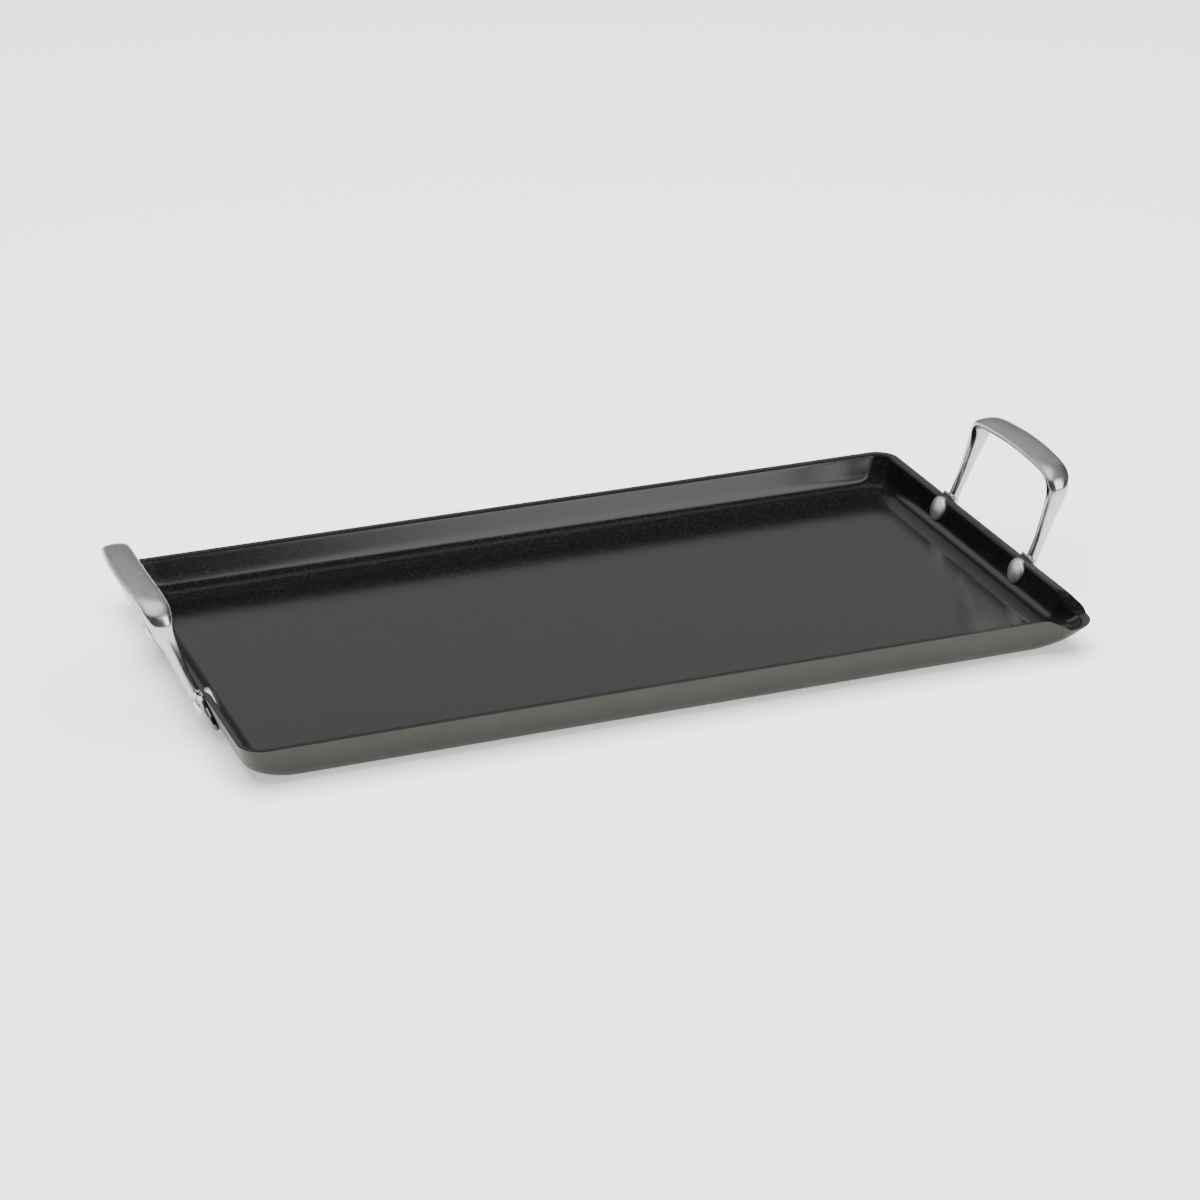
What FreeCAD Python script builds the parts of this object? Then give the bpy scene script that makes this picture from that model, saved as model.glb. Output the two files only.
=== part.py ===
import FreeCAD, Part
import math
import os

from FreeCAD import Vector

# Two-burner stovetop griddle.  Millimetres, +Z up.
# Origin: centre of the flat underside.  +X runs along the length towards the
# end with the pouring spout, +Y runs to the back, so the spout is at +X, -Y.

# ---- driving dimensions -------------------------------------------------
LENGTH = 457.0            # rim, outside to outside, the usual 18 inch griddle
WIDTH = 249.0             # rim, outside to outside
HEIGHT = 22.6             # underside to the top of the rim
WALL = 3.6                # metal and coating together
COATING = 0.2             # nonstick skin on the inside and on top of the rim
FOOT_RADIUS = 16.0        # outside bend between the base and the wall
WALL_LEAN = 18.0          # degrees that the upper wall leans outwards
RIM_CORNER = 13.0         # plan radius of a plain corner at the rim
BASE_CORNER = 20.0        # plan radius of the same corner down at the base
PULL_UP = 3.0             # the pan's solids run this far above the rim before it is trimmed

# pouring spout, pressed outwards and down at one corner
SPOUT_RADIUS = 16.8       # plan radius of the lip
SPOUT_FLARE = 4.9         # how far the lip stands outside the wall line
SPOUT_REACH = 29.0        # where the flare starts, from the sharp corner
SPOUT_DIP = 6.3           # how far the lip lies below the rim
SPOUT_DIP_HALF = 20.0     # half width of the dip, measured across the corner
SPOUT_DIP_FLAT = 11.5     # half width of the level bottom of the dip
SPOUT_START = 0.28        # share of the lip's height where the flare begins

# rivets
RIVET_PITCH = 94.0        # between the two rivets of one handle
RIVET_RISE = 3.9          # the rivets sit this far up the straight wall from the bend
RIVET_SHANK = 6.0         # diameter
RIVET_HEAD = 14.4         # diameter of the head inside the pan
RIVET_HEAD_HEIGHT = 2.7
RIVET_TAIL = 9.6          # diameter of the peened head on the handle's foot
RIVET_TAIL_HEIGHT = 2.0
HEAD_EDGE = 0.33          # share of a head's height that is its straight edge
HEAD_SKIRT = 4.0          # the head's solid starts this far under the surface
SHANK_OVERLAP = 0.6       # how far the shank runs into each head
HOLE_OVERRUN = 3.5        # the tool for the holes runs this far past both surfaces

# handles, cast, one at each end, here for the +X end and its +Y half
PAD_THICK = 3.6           # of the foot that hugs the wall
PAD_LOW = 6.4             # bottom edge of the foot above the base plane
PAD_TOP = 24.0            # the foot ends in the leg just above the rim
PAD_HALF = 16.5           # half its width along Y
PAD_NECK = 6.5            # half its width where it runs into the leg
LEG_ROOT_X = 231.0        # the leg leaves the foot here
LEG_MID_X = 239.4
LEG_TOP_X = 245.6
LEG_TOP_Y = 45.6          # half the distance between the legs under the grip
GRIP_ENDS_X = 246.8
GRIP_MID_X = 249.0        # the grip bows outwards
GRIP_ENDS_Z = 66.4
GRIP_MID_Z = 69.1         # and upwards
LEG_WIDTH = 5.8           # across the leg, in the direction that it leans
LEG_THICK = 5.6
LEG_TOP_WIDTH = 12.0
LEG_TOP_THICK = 7.6
GRIP_WIDTH = 16.0         # widest, at mid grip
GRIP_TAPER = 0.14         # share of its width that the grip loses at its ends
GRIP_THICK = 6.2
SQUARENESS = 0.8          # 1 is an ellipse, smaller is squarer
STATIONS = 72             # sections along one handle

BIG = 600.0               # longer than the griddle, for trimming solids
CUT_REACH = 40.0          # the tool for the spout's dip reaches this far each way from the corner


def bend_inset(height, wall):
    """Distance of the wall's surface in from the rim's outer edge at a height.

    wall is how far the surface lies inside the outer one."""
    phi = math.radians(WALL_LEAN)
    straight = (HEIGHT - FOOT_RADIUS + FOOT_RADIUS * math.sin(phi)) / math.cos(phi)
    centre = FOOT_RADIUS * math.cos(phi) + straight * math.sin(phi)
    radius = FOOT_RADIUS - wall
    top_of_bend = FOOT_RADIUS - radius * math.sin(phi)
    if height < top_of_bend:
        drop = (FOOT_RADIUS - height) / radius
        return centre - radius * math.sqrt(max(0.0, 1.0 - drop * drop))
    return centre - radius * math.cos(phi) - (height - top_of_bend) * math.tan(phi)


def corner_radius(height, wall):
    """Plan radius of a plain corner, which opens towards the base."""
    share = min(1.0, height / HEIGHT)
    return BASE_CORNER + (RIM_CORNER - BASE_CORNER) * share * (2.0 - share) - wall


def spout_flare(height):
    """How far the spout stands outside the wall line at a height."""
    lip = HEIGHT - SPOUT_DIP
    start = SPOUT_START * lip
    return SPOUT_FLARE * max(0.0, height - start) / (lip - start)


def arc(centre, radius, start):
    """Quarter circle in a level plane, counter-clockwise from start degrees."""
    points = []
    for turn in (0.0, 45.0, 90.0):
        angle = math.radians(start + turn)
        step = Vector(math.cos(angle), math.sin(angle), 0.0)
        points.append(centre + step * radius)
    return Part.Arc(*points).toShape(), points[0], points[2]


def plan_wire(height, wall):
    """Closed outline of the pan at a height, with the spout in its corner."""
    inset = bend_inset(height, wall)
    half_x = LENGTH / 2.0 - inset
    half_y = WIDTH / 2.0 - inset
    radius = corner_radius(height, wall)
    flare = spout_flare(height)
    below_lip = max(0.0, 1.0 - height / (HEIGHT - SPOUT_DIP))
    lip = SPOUT_RADIUS + (BASE_CORNER - SPOUT_RADIUS) * below_lip - wall
    lip_in = lip - flare
    reach = SPOUT_REACH - wall

    # the lip: a quarter circle that stands outside both wall lines
    lip_edge, lip_start, lip_end = arc(Vector(half_x - lip_in, -half_y + lip_in, height), lip, 270.0)
    front_start = Vector(half_x - reach, -half_y, height)
    side_end = Vector(half_x, -half_y + reach, height)
    pull = (reach - lip_in) / 3.0
    into_lip = Part.BezierCurve()
    into_lip.setPoles([
        front_start,
        front_start + Vector(pull, 0, 0),
        lip_start - Vector(pull, 0, 0),
        lip_start,
    ])
    out_of_lip = Part.BezierCurve()
    out_of_lip.setPoles([
        lip_end,
        lip_end + Vector(0, pull, 0),
        side_end - Vector(0, pull, 0),
        side_end,
    ])

    # the three plain corners, back right, back left and front left
    corners = []
    for sign_x, sign_y, start in ((1, 1, 0.0), (-1, 1, 90.0), (-1, -1, 180.0)):
        centre = Vector(sign_x * (half_x - radius), sign_y * (half_y - radius), height)
        corners.append(arc(centre, radius, start))

    edges = [into_lip.toShape(), lip_edge, out_of_lip.toShape()]
    last = side_end
    for edge, start, end in corners:
        edges += [Part.makeLine(last, start), edge]
        last = end
    edges.append(Part.makeLine(last, front_start))
    return Part.Wire(edges)


def pan_solid(wall):
    """Solid bounded by the pan's surface, moved inwards by wall."""
    radius = FOOT_RADIUS - wall
    top_of_bend = FOOT_RADIUS - radius * math.sin(math.radians(WALL_LEAN))
    heights = []
    for turn in (0.0, 12.0, 25.0, 40.0, 55.0, 70.0):
        heights.append(FOOT_RADIUS - radius * math.cos(math.radians(turn)))
    heights += [top_of_bend, HEIGHT, HEIGHT + PULL_UP]
    wires = [plan_wire(height, wall) for height in heights]
    return Part.makeLoft(wires, True, False)


def rim_cutter(drop):
    """Everything above the rim, with the dip over the spout, lowered by drop."""
    top = HEIGHT - drop
    above = Part.makeBox(BIG, BIG, 60.0, Vector(-BIG / 2, -BIG / 2, top))
    out = Vector(1, -1, 0).normalize()
    across = Vector(1, 1, 0).normalize()
    corner = Vector(LENGTH / 2.0, -WIDTH / 2.0, 0)

    def at(side, height):
        return corner + across * side + Vector(0, 0, height) - out * CUT_REACH

    pull = (SPOUT_DIP_HALF - SPOUT_DIP_FLAT) / 3.0
    low = top - SPOUT_DIP
    shoulders = []
    for sign in (1, -1):
        curve = Part.BezierCurve()
        poles = [
            at(sign * SPOUT_DIP_HALF, top),
            at(sign * (SPOUT_DIP_HALF - pull), top),
            at(sign * (SPOUT_DIP_FLAT + pull), low),
            at(sign * SPOUT_DIP_FLAT, low),
        ]
        curve.setPoles(poles)
        shoulders.append(curve.toShape())
    floor = Part.makeLine(at(SPOUT_DIP_FLAT, low), at(-SPOUT_DIP_FLAT, low))
    sides = Part.makePolygon([
        at(-SPOUT_DIP_HALF, top),
        at(-SPOUT_DIP_HALF, top + SPOUT_DIP),
        at(SPOUT_DIP_HALF, top + SPOUT_DIP),
        at(SPOUT_DIP_HALF, top),
    ])
    outline = Part.Wire(Part.__sortEdges__([shoulders[0], floor, shoulders[1]] + sides.Edges))
    dip = Part.Face(outline).extrude(out * 2.0 * CUT_REACH)
    return above.fuse(dip)


def rivet_frame(side_x, side_y):
    """Point on the rivet's axis, one bend radius inside the wall, and its outward direction."""
    phi = math.radians(WALL_LEAN)
    straight = (HEIGHT - FOOT_RADIUS + FOOT_RADIUS * math.sin(phi)) / math.cos(phi)
    centre_in = FOOT_RADIUS * math.cos(phi) + straight * math.sin(phi)
    base = Vector(side_x * (LENGTH / 2.0 - centre_in), side_y * RIVET_PITCH / 2.0, FOOT_RADIUS)
    up_wall = Vector(side_x * math.sin(phi), 0.0, math.cos(phi))
    direction = Vector(side_x * math.cos(phi), 0.0, -math.sin(phi))
    return base + up_wall * RIVET_RISE, direction


def domed_head(base, direction, diameter, height):
    """Low domed head around base, pointing along direction, with a skirt below it."""
    radius = diameter / 2.0
    edge = HEAD_EDGE * height
    crown = height - edge
    ball = (radius ** 2 + crown ** 2) / (2.0 * crown)
    lean = math.asin(radius / ball) / 2.0
    shoulder = Vector(ball * math.sin(lean), 0, height - ball + ball * math.cos(lean))
    foot = [
        Vector(0, 0, height),
        Vector(0, 0, -HEAD_SKIRT),
        Vector(radius, 0, -HEAD_SKIRT),
        Vector(radius, 0, edge),
    ]
    dome = Part.Arc(foot[3], shoulder, foot[0]).toShape()
    outline = Part.Wire(Part.makePolygon(foot).Edges + [dome])
    head = Part.Face(outline).revolve(Vector(0, 0, 0), Vector(0, 0, 1), 360)
    head = Part.makeSolid(head.Shells[0])
    if head.Volume < 0:
        head.reverse()
    head.Placement = FreeCAD.Placement(base, FreeCAD.Rotation(Vector(0, 0, 1), direction))
    return head


def handle_path():
    """Centre line of the +X handle, from one foot over the grip to the other."""
    half = [
        (LEG_ROOT_X, RIVET_PITCH / 2, HEIGHT - 4.0),
        (LEG_ROOT_X + 0.4, RIVET_PITCH / 2, HEIGHT),
        (LEG_MID_X - 3.8, RIVET_PITCH / 2 - 0.2, HEIGHT + 8.0),
        (LEG_MID_X + 1.2, LEG_TOP_Y + 0.8, HEIGHT + 23.0),
        (LEG_TOP_X - 0.3, LEG_TOP_Y + 0.4, GRIP_ENDS_Z - 9.5),
        (GRIP_ENDS_X - 0.3, LEG_TOP_Y - 1.6, GRIP_ENDS_Z - 1.6),
        (GRIP_ENDS_X + 0.6, LEG_TOP_Y - 9.0, GRIP_ENDS_Z + 1.6),
        (GRIP_ENDS_X + 1.4, LEG_TOP_Y - 22.0, GRIP_ENDS_Z + 2.2),
        (GRIP_MID_X, LEG_TOP_Y * 0.2, GRIP_MID_Z),
        (GRIP_MID_X, 0.0, GRIP_MID_Z),
    ]
    poles = [Vector(*point) for point in half]
    poles += [Vector(x, -y, z) for x, y, z in reversed(half[:-1])]
    curve = Part.BSplineCurve()
    curve.buildFromPoles(poles, False, 3)
    return curve


def ease(share):
    """Smooth step from 0 to 1."""
    share = min(1.0, max(0.0, share))
    return share * share * (3.0 - 2.0 * share)


def handle_section(curve, at):
    """Closed outline of the handle's section at a parameter of its centre line."""
    centre = curve.value(at)
    along = curve.tangent(at)[0]
    out = Vector(1, 0, 0)
    across = (out - along * out.dot(along)).normalize()
    thick = along.cross(across)
    grip = ease((abs(along.y) - 0.05) / 0.9)
    climb = min(1.0, max(0.0, (centre.z - PAD_TOP) / (GRIP_ENDS_Z - 6.0 - PAD_TOP))) ** 2
    leg_a = LEG_WIDTH + (LEG_TOP_WIDTH - LEG_WIDTH) * climb
    leg_b = LEG_THICK + (LEG_TOP_THICK - LEG_THICK) * climb
    grip_a = GRIP_WIDTH * (1.0 - GRIP_TAPER * (centre.y / LEG_TOP_Y) ** 2)
    half_a = (leg_a + (grip_a - leg_a) * grip) / 2.0
    half_b = (leg_b + (GRIP_THICK - leg_b) * grip) / 2.0
    points = []
    for step in range(16):
        angle = math.radians(step * 22.5)
        cos_a = math.copysign(abs(math.cos(angle)) ** SQUARENESS, math.cos(angle))
        sin_a = math.copysign(abs(math.sin(angle)) ** SQUARENESS, math.sin(angle))
        points.append(centre + across * (half_a * cos_a) + thick * (half_b * sin_a))
    outline = Part.BSplineCurve()
    outline.interpolate(Points=points, PeriodicFlag=True)
    return Part.Wire([outline.toShape()])


def foot_block(side_y):
    """Upright block with the outline of one foot, seen along X."""
    start = LENGTH / 2.0 - FOOT_RADIUS
    centre_y = side_y * RIVET_PITCH / 2.0
    half = [
        (PAD_HALF - 4.5, PAD_LOW),
        (PAD_HALF - 0.6, PAD_LOW + 1.2),
        (PAD_HALF, PAD_LOW + 4.5),
        (PAD_HALF - 2.5, PAD_LOW + 8.0),
        (PAD_NECK + 3.0, PAD_LOW + 11.0),
        (PAD_NECK + 0.8, PAD_LOW + 14.0),
        (PAD_NECK, PAD_TOP),
    ]
    right = [Vector(start, centre_y + y, z) for y, z in half]
    left = [Vector(start, centre_y - y, z) for y, z in half]
    flank_right = Part.BSplineCurve()
    flank_right.interpolate(Points=right)
    flank_left = Part.BSplineCurve()
    flank_left.interpolate(Points=left)
    edges = [
        flank_right.toShape(),
        Part.makeLine(right[-1], left[-1]),
        flank_left.toShape(),
        Part.makeLine(left[0], right[0]),
    ]
    outline = Part.Wire(Part.__sortEdges__(edges))
    return Part.Face(outline).extrude(Vector(2.0 * FOOT_RADIUS, 0, 0))


def rivet_hole(side_x, side_y):
    """Cylinder along a rivet's axis, from inside the pan to beyond the foot."""
    base, direction = rivet_frame(side_x, side_y)
    start = FOOT_RADIUS - WALL - HOLE_OVERRUN
    length = WALL + PAD_THICK + 2.0 * HOLE_OVERRUN
    return Part.makeCylinder(RIVET_SHANK / 2.0, length, base + direction * start, direction)


def rivet(side_x, side_y, hollow, padded, handle):
    """Solid rivet: head in the pan, shank through wall and foot, peened tail."""
    base, direction = rivet_frame(side_x, side_y)
    inside = base + direction * (FOOT_RADIUS - WALL)
    outside = base + direction * (FOOT_RADIUS + PAD_THICK)
    head = domed_head(inside, direction * -1.0, RIVET_HEAD, RIVET_HEAD_HEIGHT).common(hollow)
    tail = domed_head(outside, direction, RIVET_TAIL, RIVET_TAIL_HEIGHT).cut(padded).cut(handle)
    length = WALL + PAD_THICK + 2.0 * SHANK_OVERLAP
    shank = Part.makeCylinder(RIVET_SHANK / 2.0, length, inside - direction * SHANK_OVERLAP, direction)
    return head.fuse(shank).fuse(tail)


def mirrored(shape):
    return shape.mirror(Vector(0, 0, 0), Vector(1, 0, 0))


def main():
    os.makedirs("parts", exist_ok=True)
    outer = pan_solid(0.0)
    metal_inside = pan_solid(WALL - COATING)
    hollow = pan_solid(WALL)
    padded = pan_solid(-PAD_THICK)
    body = outer.cut(rim_cutter(COATING)).cut(metal_inside)
    coating = outer.cut(rim_cutter(0.0)).cut(hollow).cut(body)

    curve = handle_path()
    sections = [handle_section(curve, step / STATIONS) for step in range(STATIONS + 1)]
    strap = Part.makeLoft(sections, True, False)
    feet = [foot_block(side).common(padded) for side in (1, -1)]
    handle = strap.fuse(feet).cut(outer)
    for side_y in (1, -1):
        handle = handle.cut(rivet_hole(1, side_y))

    for side_x in (1, -1):
        for side_y in (1, -1):
            hole = rivet_hole(side_x, side_y)
            body = body.cut(hole)
            coating = coating.cut(hole)

    nodes = {"pan_body": body, "nonstick_coating": coating}
    nodes["right_handle"] = handle
    nodes["left_handle"] = mirrored(handle)
    for side_y, place in ((1, "back"), (-1, "front")):
        piece = rivet(1, side_y, hollow, padded, handle)
        nodes["rivet_right_" + place] = piece
        nodes["rivet_left_" + place] = mirrored(piece)
    for name, shape in nodes.items():
        solid = shape.Solids[0]
        print(name, shape.isValid(), len(shape.Solids), round(solid.Volume, 1))
        solid.exportStep("parts/" + name + ".step")


main()
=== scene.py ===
import math

import bmesh
import bpy
from mathutils import Matrix, Vector


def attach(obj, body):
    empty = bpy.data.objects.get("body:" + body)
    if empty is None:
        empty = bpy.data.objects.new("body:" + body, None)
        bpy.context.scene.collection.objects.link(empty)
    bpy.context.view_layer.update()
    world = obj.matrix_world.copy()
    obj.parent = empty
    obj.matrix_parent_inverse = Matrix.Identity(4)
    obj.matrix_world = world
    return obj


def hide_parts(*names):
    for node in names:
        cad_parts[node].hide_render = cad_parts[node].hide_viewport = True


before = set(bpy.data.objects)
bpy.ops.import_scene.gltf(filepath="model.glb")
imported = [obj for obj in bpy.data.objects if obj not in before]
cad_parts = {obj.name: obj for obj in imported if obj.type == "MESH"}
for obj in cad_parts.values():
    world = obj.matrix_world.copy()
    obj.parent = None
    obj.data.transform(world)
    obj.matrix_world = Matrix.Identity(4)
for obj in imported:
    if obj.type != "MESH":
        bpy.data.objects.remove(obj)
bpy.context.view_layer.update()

# Two-burner stovetop griddle: a drawn aluminium pan with a nonstick inside, a
# pouring spout in one corner, and a cast steel loop handle riveted to each end.
# Metres.  +X runs towards the spout's end, +Y to the back, +Z up.

MM = 0.001

# ---- sizes of the pan ----------------------------------------------------
LENGTH = 457.0 * MM
WIDTH = 249.0 * MM
HEIGHT = 22.6 * MM
WALL = 3.6 * MM
COATING = 0.2 * MM
BEND = 16.0 * MM              # outside bend between base and wall
LEAN = math.radians(18.0)     # of the upper wall
RIM_CORNER = 13.0 * MM
BASE_CORNER = 20.0 * MM
RIM_EDGE = 0.6 * MM           # round on the rim's two edges
RIM_SLOPE = 0.7 * MM          # the rim's top falls this far towards the inside

# ---- pouring spout -------------------------------------------------------
SPOUT_RADIUS = 16.8 * MM
SPOUT_FLARE = 4.87 * MM
SPOUT_REACH = 29.0 * MM
SPOUT_DIP = 6.3 * MM
SPOUT_DIP_HALF = 20.0 * MM
SPOUT_DIP_FLAT = 11.5 * MM
SPOUT_START = 0.28           # share of the lip height where the flare begins

# ---- rivets ---------------------------------------------------------------
RIVET_PITCH = 94.0 * MM
RIVET_RISE = 3.9 * MM         # up the straight wall from the bend
RIVET_HEAD = 14.4 * MM
RIVET_HEAD_HEIGHT = 2.7 * MM
RIVET_TAIL = 9.6 * MM
RIVET_TAIL_HEIGHT = 2.0 * MM

# ---- handles --------------------------------------------------------------
PAD_THICK = 3.6 * MM
PAD_LOW = 6.4 * MM
PAD_TOP = 24.0 * MM
PAD_HALF = 16.5 * MM
PAD_NECK = 6.5 * MM
LEG_ROOT_X = 231.0 * MM
LEG_MID_X = 239.4 * MM
LEG_TOP_X = 245.6 * MM
LEG_TOP_Y = 45.6 * MM
GRIP_ENDS_X = 246.8 * MM
GRIP_MID_X = 249.0 * MM
GRIP_ENDS_Z = 66.4 * MM
GRIP_MID_Z = 69.1 * MM

SEED = 7

# ---- points along the pan's outline, per stretch --------------------------
LONG_STEPS = 60
SHORT_STEPS = 36
CORNER_STEPS = 14
OGEE_STEPS = 12
LIP_STEPS = 22


# ---- small helpers --------------------------------------------------------
def ease(share):
    """Smooth step from 0 to 1."""
    share = min(1.0, max(0.0, share))
    return share * share * (3.0 - 2.0 * share)


def paint(hex_colour):
    """Linear colour with alpha from an sRGB hex value such as 5f5f58."""
    channels = [int(hex_colour[i:i + 2], 16) / 255.0 for i in (0, 2, 4)]
    linear = [c / 12.92 if c <= 0.04045 else ((c + 0.055) / 1.055) ** 2.4 for c in channels]
    return (*linear, 1.0)


def add(tree, kind, settings=None, links=None):
    """Adds a node: settings are its properties or inputs, links go from socket to source."""
    node = tree.nodes.new(kind)
    for key, value in (settings or {}).items():
        if isinstance(key, str) and hasattr(node, key):
            setattr(node, key, value)
        else:
            node.inputs[key].default_value = value
    for key, source in (links or {}).items():
        output = source.outputs[0] if hasattr(source, "outputs") else source
        tree.links.new(output, node.inputs[key])
    return node


def new_object(name, points, faces):
    mesh = bpy.data.meshes.new(name)
    mesh.from_pydata([tuple(p) for p in points], [], faces)
    mesh.validate()
    piece = bpy.data.objects.new(name, mesh)
    bpy.context.scene.collection.objects.link(piece)
    return piece


def finish_mesh(piece, sharp_degrees):
    piece.data.polygons.foreach_set("use_smooth", [True] * len(piece.data.polygons))
    piece.data.set_sharp_from_angle(angle=math.radians(sharp_degrees))


def hand_in(piece, material, slot, *nodes):
    """Gives a piece its material and its place in the frame."""
    piece.data.materials.clear()
    piece.data.materials.append(material)
    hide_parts(*nodes)
    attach(piece, "root")


# ---- the pan's surface ----------------------------------------------------
def bend_inset(height, wall):
    """How far the surface lies in from the rim's outer edge at a height."""
    straight = (HEIGHT - BEND + BEND * math.sin(LEAN)) / math.cos(LEAN)
    centre = BEND * math.cos(LEAN) + straight * math.sin(LEAN)
    radius = BEND - wall
    top_of_bend = BEND - radius * math.sin(LEAN)
    if height < top_of_bend:
        drop = min(1.0, (BEND - height) / radius)
        return centre - radius * math.sqrt(1.0 - drop * drop)
    return centre - radius * math.cos(LEAN) - (height - top_of_bend) * math.tan(LEAN)


def corner_radius(height, wall):
    share = min(1.0, height / HEIGHT)
    return BASE_CORNER + (RIM_CORNER - BASE_CORNER) * share * (2.0 - share) - wall


def spout_flare(height):
    lip = HEIGHT - SPOUT_DIP
    start = SPOUT_START * lip
    return SPOUT_FLARE * max(0.0, height - start) / (lip - start)


def plan_outline(height, wall):
    """The pan's outline at a height, seen from above, as the same number of points at every height."""
    inset = bend_inset(height, wall)
    half_x = LENGTH / 2 - inset
    half_y = WIDTH / 2 - inset
    radius = corner_radius(height, wall)
    flare = spout_flare(height)
    below_lip = max(0.0, 1.0 - height / (HEIGHT - SPOUT_DIP))
    lip = SPOUT_RADIUS + (BASE_CORNER - SPOUT_RADIUS) * below_lip - wall
    lip_in = lip - flare
    reach = SPOUT_REACH - wall
    points = []

    def line(x0, y0, x1, y1, steps):
        points.extend((x0 + (x1 - x0) * i / steps, y0 + (y1 - y0) * i / steps) for i in range(steps))

    def arc(x, y, size, start, steps):
        for i in range(steps):
            turn = math.radians(start + 90.0 * i / steps)
            points.append((x + size * math.cos(turn), y + size * math.sin(turn)))

    run = reach - lip_in
    line(-half_x + radius, -half_y, half_x - reach, -half_y, LONG_STEPS)
    points.extend((half_x - reach + run * i / OGEE_STEPS, -half_y - flare * ease(i / OGEE_STEPS))
                  for i in range(OGEE_STEPS))
    arc(half_x - lip_in, -half_y + lip_in, lip, 270.0, LIP_STEPS)
    points.extend((half_x + flare * ease(1 - i / OGEE_STEPS), -half_y + lip_in + run * i / OGEE_STEPS)
                  for i in range(OGEE_STEPS))
    line(half_x, -half_y + reach, half_x, half_y - radius, SHORT_STEPS)
    arc(half_x - radius, half_y - radius, radius, 0.0, CORNER_STEPS)
    line(half_x - radius, half_y, -half_x + radius, half_y, LONG_STEPS)
    arc(-half_x + radius, half_y - radius, radius, 90.0, CORNER_STEPS)
    line(-half_x, half_y - radius, -half_x, -half_y + radius, SHORT_STEPS)
    arc(-half_x + radius, -half_y + radius, radius, 180.0, CORNER_STEPS)
    return points


def rim_dip(x, y):
    """How far the rim lies below its usual height over the spout."""
    from_corner = Vector((x - LENGTH / 2, y + WIDTH / 2))
    if from_corner.length > 2.2 * SPOUT_DIP_HALF:
        return 0.0
    side = abs(from_corner.x + from_corner.y) / math.sqrt(2.0)
    return SPOUT_DIP * ease((SPOUT_DIP_HALF - side) / (SPOUT_DIP_HALF - SPOUT_DIP_FLAT))


def surface_ring(wall, height=None, below_rim=0.0):
    """One ring of points on the surface that lies wall inside the outer one.

    The ring is level at height, or follows the rim at below_rim under it."""
    if height is not None:
        return [Vector((x, y, height)) for x, y in plan_outline(height, wall)]
    count = len(plan_outline(HEIGHT, wall))
    heights = [HEIGHT - below_rim] * count
    near_spout = range(LONG_STEPS - 6, LONG_STEPS + 2 * OGEE_STEPS + LIP_STEPS + 6)
    flat = plan_outline(HEIGHT - below_rim, wall)
    ring = [Vector((x, y, HEIGHT - below_rim)) for x, y in flat]
    for i in near_spout:
        for _ in range(8):
            x, y = plan_outline(heights[i], wall)[i]
            heights[i] = HEIGHT - below_rim - rim_dip(x, y)
        x, y = plan_outline(heights[i], wall)[i]
        ring[i] = Vector((x, y, heights[i]))
    return ring


def between(low_ring, high_ring, wall, steps):
    """Rings that climb the wall from a level ring to a ring at the rim."""
    rings = []
    for step in range(1, steps):
        share = step / steps
        outlines = {}
        points = []
        for i, (low, high) in enumerate(zip(low_ring, high_ring)):
            height = low.z + (high.z - low.z) * share
            key = round(height, 7)
            if key not in outlines:
                outlines[key] = plan_outline(height, wall)
            points.append(Vector((*outlines[key][i], height)))
        rings.append(points)
    return rings


def climb_rings(wall, bend_steps, wall_steps, top_ring):
    """Rings from the flat of the base, round the bend and up to the rim."""
    radius = BEND - wall
    last_turn = math.radians(62.0)
    rings = []
    for step in range(bend_steps + 1):
        turn = last_turn * step / bend_steps
        rings.append(surface_ring(wall, BEND - radius * math.cos(turn)))
    rings += between(rings[-1], top_ring, wall, wall_steps)
    rings.append(top_ring)
    return rings


def skin(name, rings, cap_start, cap_end):
    """Closed surface through rings of equal length."""
    count = len(rings[0])
    points = [p for ring in rings for p in ring]
    faces = []
    for r in range(len(rings) - 1):
        a, b = r * count, (r + 1) * count
        for i in range(count):
            j = (i + 1) % count
            faces.append((a + i, a + j, b + j, b + i))
    if cap_start:
        faces.append(tuple(reversed(range(count))))
    if cap_end:
        last = (len(rings) - 1) * count
        faces.append(tuple(range(last, last + count)))
    return new_object(name, points, faces)


def shrink(ring, share):
    return [Vector((p.x * share, p.y * share, p.z)) for p in ring]


def make_pan_body():
    """Drawn aluminium pan: outside, bare edge under the coating, and the inside under it."""
    outer_top = surface_ring(0.0, below_rim=RIM_EDGE * 1.1)
    outside = climb_rings(0.0, 12, 7, outer_top)
    edge = [
        surface_ring(COATING, below_rim=RIM_EDGE + COATING),
        surface_ring(RIM_EDGE, below_rim=2 * COATING),
        surface_ring(WALL - RIM_EDGE, below_rim=RIM_SLOPE + 2 * COATING),
    ]
    inner_wall = WALL - COATING
    inner_top = surface_ring(inner_wall, below_rim=RIM_SLOPE + RIM_EDGE + 2 * COATING)
    inside = climb_rings(inner_wall, 12, 7, inner_top)
    floor = [shrink(outside[0], share) for share in (0.25, 0.6, 0.9)]
    pit = [shrink(inside[0], share) for share in (0.9, 0.6, 0.25)]
    rings = floor + outside + edge + list(reversed(inside)) + pit
    return skin("pan_shell", rings, True, True)


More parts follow.
